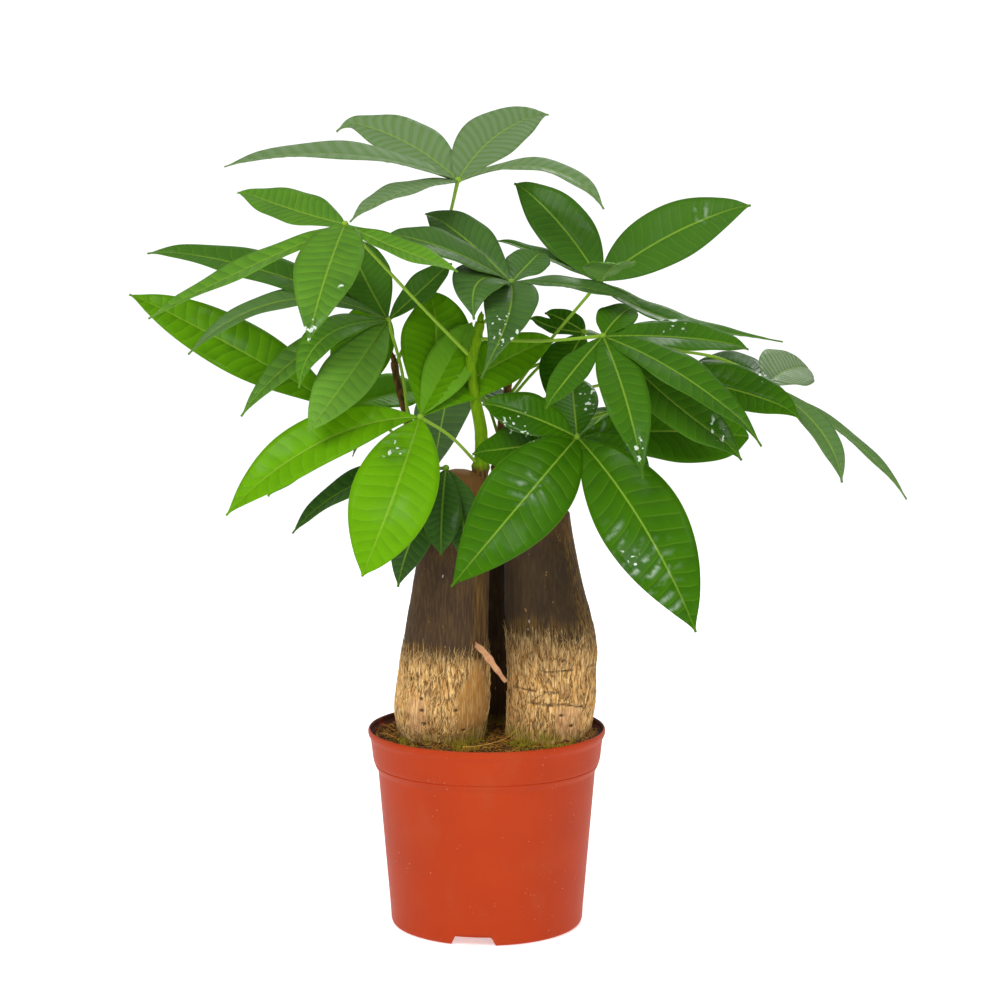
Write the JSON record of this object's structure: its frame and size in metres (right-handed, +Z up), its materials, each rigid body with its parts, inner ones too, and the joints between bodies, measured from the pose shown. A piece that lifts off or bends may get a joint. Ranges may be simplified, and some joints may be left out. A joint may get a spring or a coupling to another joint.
{
  "type": "potted plant",
  "caption": "Money tree with fat cut stumps, leafy shoots and palmate leaves, standing in a round plastic nursery pot.",
  "frame": {"origin": "under the middle of the plant's outline, at the surface that the pot's foot stands on; the pot's axis is at x -17.4 mm, y -45.1 mm", "axes": "+Z up along the pot's axis, -Y towards the front that the picture shows, +X to the right of it"},
  "size_m": [0.4996, 0.3276, 0.5141],
  "materials": {
    "pot": "thin moulded terracotta-coloured plastic, satin, lightly scuffed",
    "soil": "moist peat and coir, matt and fibrous, with moss at the stumps",
    "bark": "corky tan bark below and smooth dark bark above, with loose fibres",
    "green_shoot": "smooth green young stem",
    "woody_shoot": "brown young bark, matt",
    "leaf": "glossy mid to dark green leaf with pale ribs and quilted side veins",
    "young_leaf": "glossy bright yellow-green young leaf with pale ribs"
  },
  "bodies": {
    "root": {"pot": "pot", "soil": "soil", "trunk_left": "bark", "trunk_right": "bark", "trunk_back": "bark", "bark_flap": "bark", "shoot_front": "green_shoot", "shoot_left": "woody_shoot", "shoot_right": "woody_shoot", "shoot_back": "woody_shoot", "leaf_top": "leaf", "leaf_upper_left": "leaf", "leaf_centre": "leaf", "leaf_upper_right": "leaf", "leaf_right": "leaf", "leaf_front": "leaf", "leaf_low_left": "young_leaf", "leaf_left": "leaf", "leaf_far_left": "young_leaf", "leaf_low": "leaf", "leaf_far_right": "leaf", "leaf_right_behind": "leaf", "leaf_centre_behind": "leaf", "leaf_back_left": "leaf", "leaf_back_right": "leaf"}
  },
  "joints": []
}
